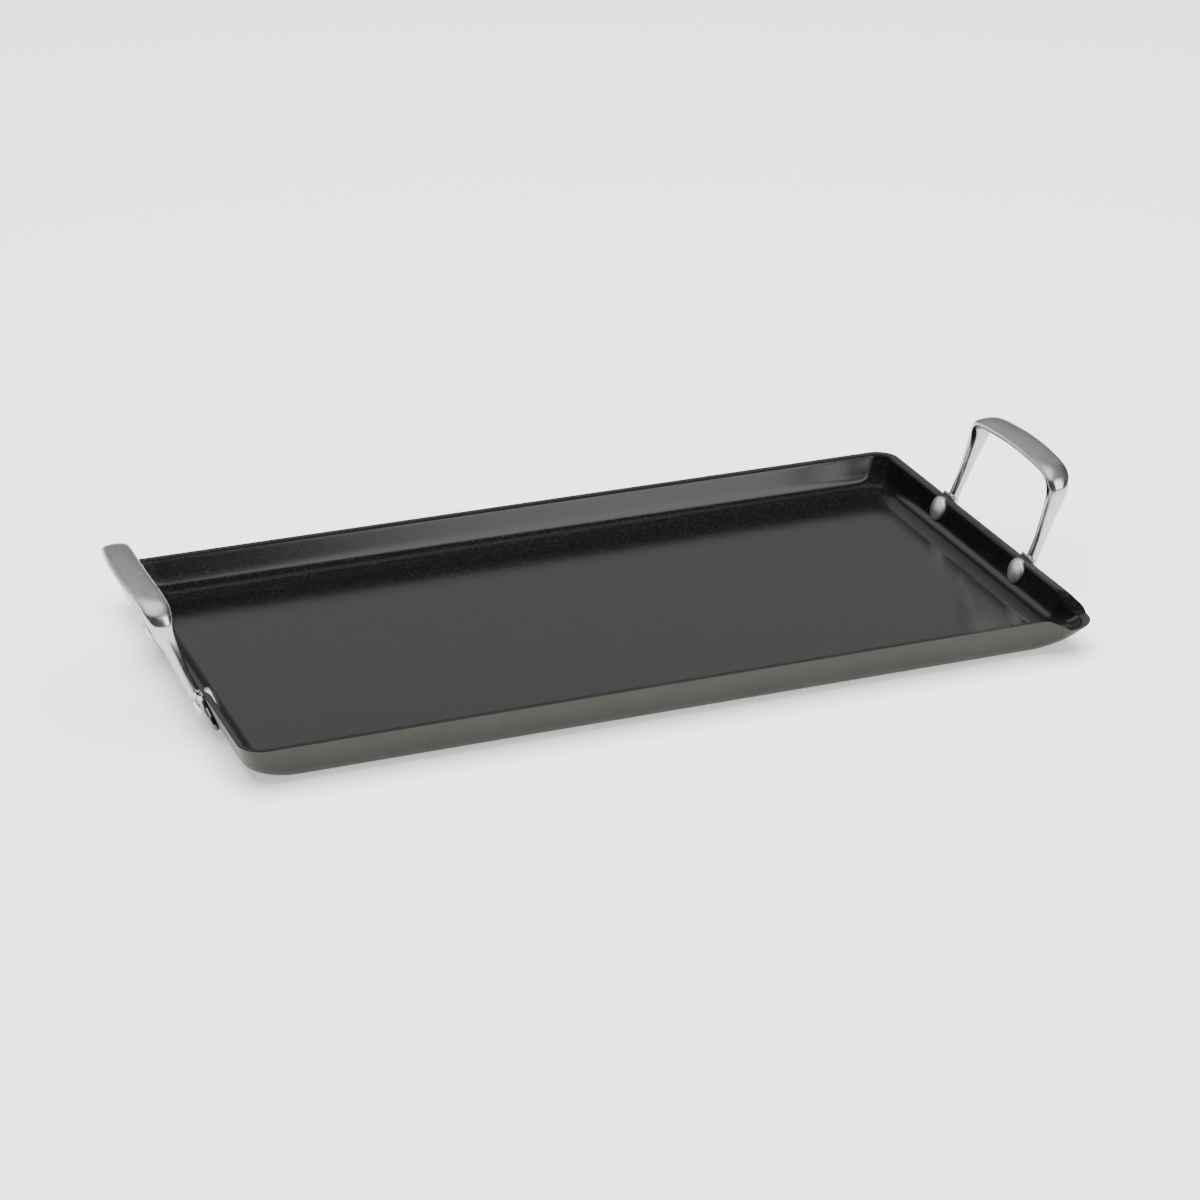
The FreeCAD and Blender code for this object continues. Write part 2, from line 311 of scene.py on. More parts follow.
def make_coating():
    """Nonstick skin: from the rim's outer edge over the rim and down into the tray."""
    lap = surface_ring(0.0, below_rim=RIM_EDGE * 1.2)
    over = [lap]
    for degrees in (10, 35, 60, 90):
        turn = math.radians(degrees)
        over.append(surface_ring(RIM_EDGE * (1 - math.cos(turn)),
                                 below_rim=RIM_EDGE * (1 - math.sin(turn))))
    for degrees in (90, 60, 30):
        turn = math.radians(degrees)
        over.append(surface_ring(WALL - RIM_EDGE * (1 - math.cos(turn)),
                                 below_rim=RIM_SLOPE + RIM_EDGE * (1 - math.sin(turn))))
    inner_top = surface_ring(WALL, below_rim=RIM_SLOPE + RIM_EDGE)
    inside = climb_rings(WALL, 14, 8, inner_top)
    floor = [shrink(inside[0], share) for share in (0.97, 0.9, 0.75, 0.5, 0.25)]
    top = over + list(reversed(inside)) + floor
    under_wall = WALL - COATING * 0.5
    under_top = surface_ring(under_wall, below_rim=RIM_SLOPE + RIM_EDGE + COATING)
    under = climb_rings(under_wall, 8, 4, under_top)
    under_floor = [shrink(under[0], share) for share in (0.25, 0.6, 0.95)]
    tuck = [surface_ring(0.8 * MM, below_rim=RIM_EDGE * 1.2 + COATING)]
    rings = under_floor + under + tuck + top
    return skin("nonstick_skin", rings, True, True)


# ---- handles ----------------------------------------------------------------
def handle_poles():
    """Control points of the +X handle's centre line, from foot over grip to foot."""
    half_pitch = RIVET_PITCH / 2
    half = [
        (LEG_ROOT_X, half_pitch, HEIGHT - 4.0 * MM),
        (LEG_ROOT_X + 0.4 * MM, half_pitch, HEIGHT),
        (LEG_MID_X - 3.8 * MM, half_pitch - 0.2 * MM, HEIGHT + 8.0 * MM),
        (LEG_MID_X + 1.2 * MM, LEG_TOP_Y + 0.8 * MM, HEIGHT + 23.0 * MM),
        (LEG_TOP_X - 0.3 * MM, LEG_TOP_Y + 0.4 * MM, GRIP_ENDS_Z - 9.5 * MM),
        (GRIP_ENDS_X - 0.3 * MM, LEG_TOP_Y - 1.6 * MM, GRIP_ENDS_Z - 1.6 * MM),
        (GRIP_ENDS_X + 0.6 * MM, LEG_TOP_Y - 9.0 * MM, GRIP_ENDS_Z + 1.6 * MM),
        (GRIP_ENDS_X + 1.4 * MM, LEG_TOP_Y - 22.0 * MM, GRIP_ENDS_Z + 2.2 * MM),
        (GRIP_MID_X, LEG_TOP_Y * 0.2, GRIP_MID_Z),
        (GRIP_MID_X, 0.0, GRIP_MID_Z),
    ]
    return half + [(x, -y, z) for x, y, z in reversed(half[:-1])]


def centre_line():
    curve = bpy.data.curves.new("handle_line", "CURVE")
    curve.dimensions = "3D"
    spline = curve.splines.new("NURBS")
    poles = handle_poles()
    spline.points.add(len(poles) - 1)
    for point, place in zip(spline.points, poles):
        point.co = (*place, 1.0)
    spline.order_u = 4
    spline.use_endpoint_u = True
    spline.resolution_u = 24
    line = bpy.data.objects.new("handle_line", curve)
    bpy.context.scene.collection.objects.link(line)
    return line


STRAP_INPUTS = {
    "Stations": ("NodeSocketInt", 190),
    "Around": ("NodeSocketInt", 40),
    "Grip Width": ("NodeSocketFloat", 16.0 * MM),
    "Grip Thickness": ("NodeSocketFloat", 6.2 * MM),
    "Grip Taper": ("NodeSocketFloat", 0.14),
    "Leg Width": ("NodeSocketFloat", 5.8 * MM),
    "Leg Thickness": ("NodeSocketFloat", 5.6 * MM),
    "Leg Top Width": ("NodeSocketFloat", 12.0 * MM),
    "Leg Top Thickness": ("NodeSocketFloat", 7.6 * MM),
    "Squareness": ("NodeSocketFloat", 0.78),
}


def strap_tree():
    """Cast strap along a line: wide and flat in the grip, with legs that widen as they climb."""
    tree = bpy.data.node_groups.new("cast_strap", "GeometryNodeTree")
    face = tree.interface
    face.new_socket("Geometry", in_out="INPUT", socket_type="NodeSocketGeometry")
    face.new_socket("Geometry", in_out="OUTPUT", socket_type="NodeSocketGeometry")
    for name, (kind, value) in STRAP_INPUTS.items():
        face.new_socket(name, in_out="INPUT", socket_type=kind).default_value = value
    face.new_socket("Finish", in_out="INPUT", socket_type="NodeSocketMaterial")
    size = add(tree, "NodeGroupInput").outputs

    even = add(tree, "GeometryNodeResampleCurve", {},
               {"Curve": size["Geometry"], "Count": size["Stations"]})
    place = add(tree, "GeometryNodeInputPosition")
    along = add(tree, "GeometryNodeInputTangent")
    line = tree.nodes.new("GeometryNodeCaptureAttribute")
    line.capture_items.new("VECTOR", "Centre")
    line.capture_items.new("VECTOR", "Along")
    tree.links.new(even.outputs[0], line.inputs["Geometry"])
    tree.links.new(place.outputs[0], line.inputs["Centre"])
    tree.links.new(along.outputs[0], line.inputs["Along"])
    circle = add(tree, "GeometryNodeCurvePrimitiveCircle", {"Radius": 1.0},
                 {"Resolution": size["Around"]})
    outline = tree.nodes.new("GeometryNodeCaptureAttribute")
    outline.capture_items.new("VECTOR", "Turn")
    tree.links.new(circle.outputs[0], outline.inputs["Geometry"])
    tree.links.new(place.outputs[0], outline.inputs["Turn"])
    tube = add(tree, "GeometryNodeCurveToMesh", {"Fill Caps": True},
               {"Curve": line.outputs["Geometry"], "Profile Curve": outline.outputs["Geometry"]})

    # three directions at each station: along the line, outwards across it, and through the strap
    maths = "ShaderNodeMath"
    vectors = "ShaderNodeVectorMath"
    tangent = add(tree, vectors, {"operation": "NORMALIZE"}, {0: line.outputs["Along"]})
    outwards = add(tree, vectors, {"operation": "DOT_PRODUCT", 1: (1.0, 0.0, 0.0)}, {0: tangent})
    forward = add(tree, vectors, {"operation": "SCALE"},
                  {0: tangent, "Scale": outwards.outputs["Value"]})
    sideways = add(tree, vectors, {"operation": "SUBTRACT", 0: (1.0, 0.0, 0.0)}, {1: forward})
    across = add(tree, vectors, {"operation": "NORMALIZE"}, {0: sideways})
    through = add(tree, vectors, {"operation": "CROSS_PRODUCT"}, {0: tangent, 1: across})

    # 1 in the level grip and 0 in the legs, and how far a leg has climbed
    tangent_parts = add(tree, "ShaderNodeSeparateXYZ", {}, {0: tangent})
    centre_parts = add(tree, "ShaderNodeSeparateXYZ", {}, {0: line.outputs["Centre"]})
    turn_parts = add(tree, "ShaderNodeSeparateXYZ", {}, {0: outline.outputs["Turn"]})
    level = add(tree, maths, {"operation": "ABSOLUTE"}, {0: tangent_parts.outputs["Y"]})
    grip = add(tree, "ShaderNodeMapRange",
               {"interpolation_type": "SMOOTHSTEP", "From Min": 0.05, "From Max": 0.95}, {"Value": level})
    rise = add(tree, "ShaderNodeMapRange", {"From Min": PAD_TOP, "From Max": GRIP_ENDS_Z - 6 * MM},
               {"Value": centre_parts.outputs["Z"]})
    climb = add(tree, maths, {"operation": "MULTIPLY"}, {0: rise, 1: rise})

    # the section's two sizes
    leg_width = add(tree, "ShaderNodeMix", {"data_type": "FLOAT"},
                    {"Factor": climb, "A": size["Leg Width"], "B": size["Leg Top Width"]})
    leg_thick = add(tree, "ShaderNodeMix", {"data_type": "FLOAT"},
                    {"Factor": climb, "A": size["Leg Thickness"], "B": size["Leg Top Thickness"]})
    from_middle = add(tree, maths, {"operation": "DIVIDE", 1: LEG_TOP_Y},
                      {0: centre_parts.outputs["Y"]})
    squared = add(tree, maths, {"operation": "MULTIPLY"}, {0: from_middle, 1: from_middle})
    loss = add(tree, maths, {"operation": "MULTIPLY"}, {0: squared, 1: size["Grip Taper"]})
    kept = add(tree, maths, {"operation": "SUBTRACT", 0: 1.0}, {1: loss})
    grip_width = add(tree, maths, {"operation": "MULTIPLY"}, {0: size["Grip Width"], 1: kept})
    width = add(tree, "ShaderNodeMix", {"data_type": "FLOAT"},
                {"Factor": grip, "A": leg_width, "B": grip_width})
    thickness = add(tree, "ShaderNodeMix", {"data_type": "FLOAT"},
                    {"Factor": grip, "A": leg_thick, "B": size["Grip Thickness"]})

    # the section itself, a circle squared off and stretched to those sizes
    offsets = []
    for axis, direction, whole in (("X", across, width), ("Y", through, thickness)):
        turn = turn_parts.outputs[axis]
        half = add(tree, maths, {"operation": "MULTIPLY", 1: 0.5}, {0: whole})
        plain = add(tree, maths, {"operation": "ABSOLUTE"}, {0: turn})
        square = add(tree, maths, {"operation": "POWER"}, {0: plain, 1: size["Squareness"]})
        side = add(tree, maths, {"operation": "SIGN"}, {0: turn})
        signed = add(tree, maths, {"operation": "MULTIPLY"}, {0: square, 1: side})
        length = add(tree, maths, {"operation": "MULTIPLY"}, {0: signed, 1: half})
        offsets.append(add(tree, vectors, {"operation": "SCALE"}, {0: direction, "Scale": length}))
    offset = add(tree, vectors, {"operation": "ADD"}, {0: offsets[0], 1: offsets[1]})
    moved = add(tree, vectors, {"operation": "ADD"}, {0: line.outputs["Centre"], 1: offset})
    shaped = add(tree, "GeometryNodeSetPosition", {},
                 {"Geometry": tube, "Position": moved})
    real = add(tree, "GeometryNodeRealizeInstances", {}, {0: shaped})
    dressed = add(tree, "GeometryNodeSetMaterial", {}, {"Geometry": real, "Material": size["Finish"]})
    add(tree, "NodeGroupOutput", {}, {"Geometry": dressed})
    return tree


def grown(name, host, tree, settings):
    """Plain mesh of what a Geometry Nodes tree makes on a host object."""
    modifier = host.modifiers.new(name, "NODES")
    modifier.node_group = tree
    for item in tree.interface.items_tree:
        if item.in_out == "INPUT" and item.name in settings:
            modifier[item.identifier] = settings[item.name]
    bpy.context.view_layer.update()
    evaluated = host.evaluated_get(bpy.context.evaluated_depsgraph_get())
    mesh = bpy.data.meshes.new_from_object(evaluated)
    mesh.name = name
    host.modifiers.remove(modifier)
    bpy.data.objects.remove(host)
    piece = bpy.data.objects.new(name, mesh)
    bpy.context.scene.collection.objects.link(piece)
    return piece


def foot_outline():
    """Outline of one foot on the wall as (offset along Y, height), anticlockwise."""
    half = [
        (PAD_HALF - 4.5 * MM, PAD_LOW),
        (PAD_HALF - 0.6 * MM, PAD_LOW + 1.2 * MM),
        (PAD_HALF, PAD_LOW + 4.5 * MM),
        (PAD_HALF - 2.5 * MM, PAD_LOW + 8.0 * MM),
        (PAD_NECK + 3.0 * MM, PAD_LOW + 11.0 * MM),
        (PAD_NECK + 0.8 * MM, PAD_LOW + 14.0 * MM),
        (PAD_NECK, PAD_TOP),
    ]
    dense = []
    for (y0, z0), (y1, z1) in zip(half, half[1:]):
        dense += [(y0 + (y1 - y0) * i / 4, z0 + (z1 - z0) * i / 4) for i in range(4)]
    dense.append(half[-1])
    level = 6
    top = [(PAD_NECK * (1 - 2 * i / level), PAD_TOP) for i in range(1, level)]
    bottom = [((PAD_HALF - 4.5 * MM) * (2 * i / level - 1), PAD_LOW) for i in range(1, level)]
    return dense + top + [(-y, z) for y, z in reversed(dense)] + bottom


def make_foot(side_y):
    """Closed foot of the +X handle, that hugs the pan's outer wall."""
    outline = foot_outline()
    middle_z = 14.0 * MM
    gap = 0.05 * MM        # keeps the foot off the wall, so that the two never flicker
    crown = 0.72           # rounds the foot off, to about half its thickness at the edge
    shares = (0.12, 0.35, 0.6, 0.8, 0.92, 1.0)

    def ring(share, raised):
        points = []
        for y, z in outline:
            height = middle_z + (z - middle_z) * share
            face = LENGTH / 2 - bend_inset(min(height, HEIGHT), 0.0)
            phi = max(LEAN, math.asin(min(1.0, max(0.0, (BEND - height) / BEND))))
            lift = gap
            if raised:
                lift = PAD_THICK * math.sqrt(max(0.0, 1.0 - crown * share ** 6))
            points.append(Vector((face + lift * math.cos(phi), side_y * RIVET_PITCH / 2 + y * share,
                                  height - lift * math.sin(phi))))
        return points

    rings = [ring(share, False) for share in shares] + [ring(share, True) for share in reversed(shares)]
    return skin("foot", rings, True, True)


def outward(piece):
    """Turns a closed mesh's faces outwards."""
    bm = bmesh.new()
    bm.from_mesh(piece.data)
    bmesh.ops.remove_doubles(bm, verts=bm.verts, dist=1e-7)
    bmesh.ops.recalc_face_normals(bm, faces=bm.faces)
    bm.to_mesh(piece.data)
    bm.free()


def apply_modifiers(piece):
    bpy.context.view_layer.update()
    evaluated = piece.evaluated_get(bpy.context.evaluated_depsgraph_get())
    mesh = bpy.data.meshes.new_from_object(evaluated)
    piece.modifiers.clear()
    piece.data = mesh


def make_handle(material):
    """Cast handle of the +X end: strap and feet in one skin, with a small fillet between them."""
    handle = grown("handle_right", centre_line(), strap_tree(), {"Finish": material})
    outward(handle)
    feet = [make_foot(side) for side in (1, -1)]
    for foot in feet:
        outward(foot)
        weld = handle.modifiers.new("weld", "BOOLEAN")
        weld.operation = "UNION"
        weld.solver = "EXACT"
        weld.object = foot
    apply_modifiers(handle)
    sharp = handle.copy()
    sharp.data = handle.data.copy()
    bpy.context.scene.collection.objects.link(sharp)
    even = handle.modifiers.new("even", "REMESH")
    even.mode = "VOXEL"
    even.voxel_size = 0.42 * MM
    true = handle.modifiers.new("true", "SHRINKWRAP")
    true.target = sharp
    fillet = handle.modifiers.new("fillet", "SMOOTH")
    fillet.factor = 0.5
    fillet.iterations = 5
    apply_modifiers(handle)
    for spare in (sharp, *feet):
        bpy.data.objects.remove(spare)
    return handle


def mirrored(name, piece):
    points = [Vector((-v.co.x, v.co.y, v.co.z)) for v in piece.data.vertices]
    faces = [tuple(reversed(p.vertices)) for p in piece.data.polygons]
    return new_object(name, points, faces)


# ---- rivets -------------------------------------------------------------------
def head_profile(diameter, height, edge_share):
    """Half profile of a low domed head as (radius, height), from its skirt to its crown."""
    radius = diameter / 2
    edge = edge_share * height
    crown = height - edge
    ball = (radius ** 2 + crown ** 2) / (2 * crown)
    skirt = 1.4 * MM       # sunk into what the head lies on
    profile = [(radius, -skirt), (radius, edge * 0.55)]
    top = math.asin(radius * 0.965 / ball)
    steps = 9
    for i in range(steps):
        turn = top * (1 - i / steps)
        profile.append((ball * math.sin(turn), height - ball + ball * math.cos(turn)))
    return profile


def turned(name, profile, around=40):
    rings = []
    for radius, height in profile:
        ring = []
        for i in range(around):
            turn = 2 * math.pi * i / around
            ring.append(Vector((radius * math.cos(turn), radius * math.sin(turn), height)))
        rings.append(ring)
    return skin(name, rings, True, True)


def rivet_places():
    """Points on the wall and directions of the heads inside the pan and the tails outside."""
    heads, tails = [], []
    straight = (HEIGHT - BEND + BEND * math.sin(LEAN)) / math.cos(LEAN)
    centre_in = BEND * math.cos(LEAN) + straight * math.sin(LEAN)
    for side_x in (1, -1):
        for side_y in (1, -1):
            base = Vector((side_x * (LENGTH / 2 - centre_in), side_y * RIVET_PITCH / 2, BEND))
            base += Vector((side_x * math.sin(LEAN), 0.0, math.cos(LEAN))) * RIVET_RISE
            direction = Vector((side_x * math.cos(LEAN), 0.0, -math.sin(LEAN)))
            heads.append((base + direction * (BEND - WALL), -direction))
            tails.append((base + direction * (BEND + PAD_THICK - 0.1 * MM), direction))
    return heads, tails


RIVET_INPUTS = {
    "Dent": ("NodeSocketFloat", 0.06 * MM),
    "Dent Size": ("NodeSocketFloat", 2.2 * MM),
    "Seed": ("NodeSocketInt", SEED),
}


def rivet_tree(patterns):
    """Sets one of each pattern on every point of the host, turned along its normal."""
    tree = bpy.data.node_groups.new("rivet_set", "GeometryNodeTree")
    face = tree.interface
    face.new_socket("Geometry", in_out="INPUT", socket_type="NodeSocketGeometry")
    face.new_socket("Geometry", in_out="OUTPUT", socket_type="NodeSocketGeometry")
    for name, (kind, value) in RIVET_INPUTS.items():
        face.new_socket(name, in_out="INPUT", socket_type=kind).default_value = value
    face.new_socket("Finish", in_out="INPUT", socket_type="NodeSocketMaterial")
    size = add(tree, "NodeGroupInput").outputs
    which = add(tree, "GeometryNodeInputNamedAttribute", {"data_type": "INT", "Name": "pattern"})
    aim = add(tree, "GeometryNodeInputNamedAttribute", {"data_type": "FLOAT_VECTOR", "Name": "aim"})
    turn = add(tree, "FunctionNodeAlignRotationToVector", {"axis": "Z"}, {"Vector": aim})
    spin = add(tree, "FunctionNodeRandomValue", {"Min": 0.0, "Max": 2 * math.pi},
               {"Seed": size["Seed"]})
    own = add(tree, "FunctionNodeAxisAngleToRotation", {"Axis": (0.0, 0.0, 1.0)},
              {"Angle": spin.outputs[1]})
    whole = add(tree, "FunctionNodeRotateRotation", {"rotation_space": "LOCAL"},
                {"Rotation": turn, "Rotate By": own})
    joined = add(tree, "GeometryNodeJoinGeometry")
    for index, pattern in enumerate(patterns):
        info = add(tree, "GeometryNodeObjectInfo", {"Object": pattern})
        chosen = add(tree, "FunctionNodeCompare", {"data_type": "INT", "operation": "EQUAL", 3: index},
                     {2: which})
        placed = add(tree, "GeometryNodeInstanceOnPoints", {},
                     {"Points": size["Geometry"], "Selection": chosen,
                      "Instance": info.outputs["Geometry"], "Rotation": whole})
        tree.links.new(placed.outputs[0], joined.inputs[0])
    real = add(tree, "GeometryNodeRealizeInstances", {}, {0: joined})
    scale = add(tree, "ShaderNodeMath", {"operation": "DIVIDE", 0: 1.0}, {1: size["Dent Size"]})
    dents = add(tree, "ShaderNodeTexNoise", {"noise_dimensions": "4D", "Detail": 1.0},
                {"Scale": scale, "W": size["Seed"]})
    centred = add(tree, "ShaderNodeMath", {"operation": "SUBTRACT", 1: 0.5}, {0: dents.outputs[0]})
    deep = add(tree, "ShaderNodeMath", {"operation": "MULTIPLY"}, {0: centred, 1: size["Dent"]})
    normal = add(tree, "GeometryNodeInputNormal")
    push = add(tree, "ShaderNodeVectorMath", {"operation": "SCALE"}, {0: normal, "Scale": deep})
    struck = add(tree, "GeometryNodeSetPosition", {}, {"Geometry": real, "Offset": push})
    dressed = add(tree, "GeometryNodeSetMaterial", {}, {"Geometry": struck, "Material": size["Finish"]})
    add(tree, "NodeGroupOutput", {}, {"Geometry": dressed})
    return tree


def make_rivets(material):
    """Domed heads inside the pan and peened tails on the handles' feet."""
    patterns = [
        turned("head_pattern", head_profile(RIVET_HEAD, RIVET_HEAD_HEIGHT, 0.36)),
        turned("tail_pattern", head_profile(RIVET_TAIL, RIVET_TAIL_HEIGHT, 0.42), 32),
    ]
    heads, tails = rivet_places()
    host = new_object("rivet_points", [place for place, _ in heads + tails], [])
    which = host.data.attributes.new("pattern", "INT", "POINT")
    which.data.foreach_set("value", [0] * len(heads) + [1] * len(tails))
    aim = host.data.attributes.new("aim", "FLOAT_VECTOR", "POINT")
    aim.data.foreach_set("vector", [c for _, direction in heads + tails for c in direction])
    rivets = grown("rivets", host, rivet_tree(patterns), {"Finish": material})
    for pattern in patterns:
        bpy.data.objects.remove(pattern)
    for name in ("pattern", "aim"):
        if name in rivets.data.attributes:
            rivets.data.attributes.remove(rivets.data.attributes[name])
    return rivets


# ---- materials ------------------------------------------------------------------
def new_material(name):
    material = bpy.data.materials.new(name)
    material.use_nodes = True
    tree = material.node_tree
    tree.nodes.clear()
    return material, tree


def sprayed_nonstick():
    """Fluoropolymer coating, sprayed and baked over grit-blasted metal: almost black, with a
    fine fleck and an orange-peel surface that gives soft, slightly broken reflections. The
    fleck is drawn coarser than it is, because its real grain would not show."""
    material, tree = new_material("sprayed_nonstick")
    place = add(tree, "ShaderNodeTexCoord").outputs["Object"]
    fleck = add(tree, "ShaderNodeTexNoise", {"Scale": 1 / (1.1 * MM), "Detail": 2.0, "Roughness": 0.6},
                {"Vector": place})
    cloud = add(tree, "ShaderNodeTexNoise", {"Scale": 1 / (9.0 * MM), "Detail": 3.0}, {"Vector": place})
    tone = add(tree, "ShaderNodeMix", {"data_type": "FLOAT", "Factor": 0.12},
               {"A": fleck.outputs[0], "B": cloud.outputs[0]})
    colour = add(tree, "ShaderNodeMix", {"data_type": "RGBA", 6: paint("090a0a"), 7: paint("1f1f1f")})
    spread = add(tree, "ShaderNodeMapRange", {"From Min": 0.5, "From Max": 0.75},
                 {"Value": tone.outputs[0]})
    tree.links.new(spread.outputs[0], colour.inputs[0])
    rough = add(tree, "ShaderNodeMapRange",
                {"From Min": 0.3, "From Max": 0.7, "To Min": 0.15, "To Max": 0.23},
                {"Value": tone.outputs[0]})
    peel = add(tree, "ShaderNodeTexNoise", {"Scale": 1 / (1.6 * MM), "Detail": 2.0}, {"Vector": place})
    bump = add(tree, "ShaderNodeBump", {"Strength": 0.3, "Distance": 0.03 * MM},
               {"Height": peel.outputs[0]})
    shader = add(tree, "ShaderNodeBsdfPrincipled", {"IOR": 1.42},
                 {"Base Color": colour.outputs[2], "Roughness": rough, "Normal": bump})
    add(tree, "ShaderNodeOutputMaterial", {}, {"Surface": shader})
    return material


def hard_anodised():
    """Hard-anodised aluminium: a dark warm grey oxide layer on metal, matt from etching,
    with a soft metallic sheen and a very fine grain, drawn coarser than it is so that it
    shows."""
    material, tree = new_material("hard_anodised_aluminium")
    place = add(tree, "ShaderNodeTexCoord").outputs["Object"]
    grain = add(tree, "ShaderNodeTexNoise", {"Scale": 1 / (0.8 * MM), "Detail": 3.0}, {"Vector": place})
    cloud = add(tree, "ShaderNodeTexNoise", {"Scale": 1 / (30.0 * MM), "Detail": 2.0},
                {"Vector": place})
    tone = add(tree, "ShaderNodeMix", {"data_type": "FLOAT", "Factor": 0.45},
               {"A": grain.outputs[0], "B": cloud.outputs[0]})
    spread = add(tree, "ShaderNodeMapRange", {"From Min": 0.35, "From Max": 0.65},
                 {"Value": tone.outputs[0]})
    colour = add(tree, "ShaderNodeMix", {"data_type": "RGBA", 6: paint("363631"), 7: paint("403f3a")},
                 {0: spread})
    rough = add(tree, "ShaderNodeMapRange", {"To Min": 0.40, "To Max": 0.52},
                {"Value": tone.outputs[0]})
    bump = add(tree, "ShaderNodeBump", {"Strength": 0.2, "Distance": 0.02 * MM},
               {"Height": grain.outputs[0]})
    shader = add(tree, "ShaderNodeBsdfPrincipled", {"Metallic": 0.85},
                 {"Base Color": colour.outputs[2], "Roughness": rough, "Normal": bump})
    add(tree, "ShaderNodeOutputMaterial", {}, {"Surface": shader})
    return material


def cast_stainless():
    """Investment-cast stainless steel, tumbled and polished: bright, with the low ripple
    that casting leaves. The grip's top was belt-finished, so it is more matt. Its fine lines
    are drawn coarser than they are, so that they show."""
    material, tree = new_material("cast_stainless_steel")
    place = add(tree, "ShaderNodeTexCoord").outputs["Object"]
    parts = add(tree, "ShaderNodeSeparateXYZ", {}, {0: place})
    height = add(tree, "ShaderNodeMapRange",
                 {"interpolation_type": "SMOOTHSTEP", "From Min": 62 * MM, "From Max": 68 * MM},
                 {"Value": parts.outputs["Z"]})
    ripple = add(tree, "ShaderNodeTexNoise", {"Scale": 1 / (9.0 * MM), "Detail": 2.0},
                 {"Vector": place})
    stretch = add(tree, "ShaderNodeMapping", {"Scale": (1.0, 0.06, 1.0)}, {"Vector": place})
    lines = add(tree, "ShaderNodeTexNoise", {"Scale": 1 / (0.5 * MM), "Detail": 3.0},
                {"Vector": stretch})
    satin = add(tree, "ShaderNodeMapRange", {"To Min": 0.16, "To Max": 0.36}, {"Value": height})
    spread = add(tree, "ShaderNodeMapRange",
                 {"From Min": 0.3, "From Max": 0.7, "To Min": -0.04, "To Max": 0.06},
                 {"Value": lines.outputs[0]})
    rough = add(tree, "ShaderNodeMath", {"operation": "ADD", "use_clamp": True}, {0: satin, 1: spread})
    relief = add(tree, "ShaderNodeMix", {"data_type": "FLOAT", "Factor": 0.12},
                 {"A": ripple.outputs[0], "B": lines.outputs[0]})
    bump = add(tree, "ShaderNodeBump", {"Strength": 0.3, "Distance": 0.10 * MM},
               {"Height": relief.outputs[0]})
    polished = add(tree, "ShaderNodeMix", {"data_type": "RGBA", 6: paint("a6a6a2"), 7: paint("bdbdb9")},
                   {0: ripple.outputs[0]})
    # painted shade: below 16 to 22 mm up, at the feet, the steel's colour is darkened to 6e6e6b in place
    # of shade and darker reflections from the lighting
    foot = add(tree, "ShaderNodeMapRange",
               {"interpolation_type": "SMOOTHSTEP", "From Min": 16 * MM, "From Max": 22 * MM},
               {"Value": parts.outputs["Z"]})
    tint = add(tree, "ShaderNodeMix", {"data_type": "RGBA", 6: paint("6e6e6b")},
               {0: foot, 7: polished.outputs[2]})
    shader = add(tree, "ShaderNodeBsdfPrincipled", {"Metallic": 1.0},
                 {"Base Color": tint.outputs[2], "Roughness": rough, "Normal": bump})
    add(tree, "ShaderNodeOutputMaterial", {}, {"Surface": shader})
    return material


def headed_rivet():
    """Cold-headed stainless rivet: pale satin steel with small dents from the die."""
    material, tree = new_material("cold_headed_steel")
    place = add(tree, "ShaderNodeTexCoord").outputs["Object"]
    dents = add(tree, "ShaderNodeTexNoise", {"Scale": 1 / (1.5 * MM), "Detail": 3.0}, {"Vector": place})
    tint = add(tree, "ShaderNodeMix", {"data_type": "RGBA", 6: paint("cfd0cf"), 7: paint("e4e4e2")},
               {0: dents.outputs[0]})
    rough = add(tree, "ShaderNodeMapRange",
                {"From Min": 0.3, "From Max": 0.7, "To Min": 0.34, "To Max": 0.48},
                {"Value": dents.outputs[0]})
    bump = add(tree, "ShaderNodeBump", {"Strength": 0.3, "Distance": 0.08 * MM},
               {"Height": dents.outputs[0]})
    shader = add(tree, "ShaderNodeBsdfPrincipled", {"Metallic": 1.0},
                 {"Base Color": tint.outputs[2], "Roughness": rough, "Normal": bump})
    add(tree, "ShaderNodeOutputMaterial", {}, {"Surface": shader})
    return material


def pale_floor():
    """White acrylic light table: matt, and lit a little from below, so that shadows stay faint."""
    material, tree = new_material("acrylic_light_table")
    shader = add(tree, "ShaderNodeBsdfPrincipled",
                 {"Base Color": paint("e9e9e9"), "Roughness": 0.9,
                  "Emission Color": paint("ffffff"), "Emission Strength": 0.58})
    add(tree, "ShaderNodeOutputMaterial", {}, {"Surface": shader})
    return material


# ---- studio -----------------------------------------------------------------------
# name, place, aim, width and height in metres, power in watts, seen in reflections
SOFTBOXES = (
    ("top_box", (0.0, 0.0, 2.3), (0.0, 0.0, 0.0), 3.0, 3.0, 240.0, False),
    ("overhead_strip", (0.2, 0.30, 1.9), (0.0, 0.1, 0.0), 2.4, 0.40, 2.4, True),
    ("back_box", (0.85, 2.25, 1.36), (0.0, 0.0, 0.0), 2.8, 1.1, 5.6, True),
    ("left_back_box", (-1.05, 1.95, 0.75), (0.0, 0.0, 0.0), 0.9, 0.6, 2.2, True),
    ("front_box", (1.05, -2.0, 1.15), (0.1, 0.1, 0.0), 1.1, 1.9, 32.0, True),
    ("steel_box", (-0.5, 0.2, 2.2), (0.0, 0.0, 0.0), 3.0, 2.6, 56.0, True),
    ("steel_side", (-1.6, 1.2, 0.9), (0.0, 0.0, 0.0), 1.2, 1.2, 7.0, True),
)


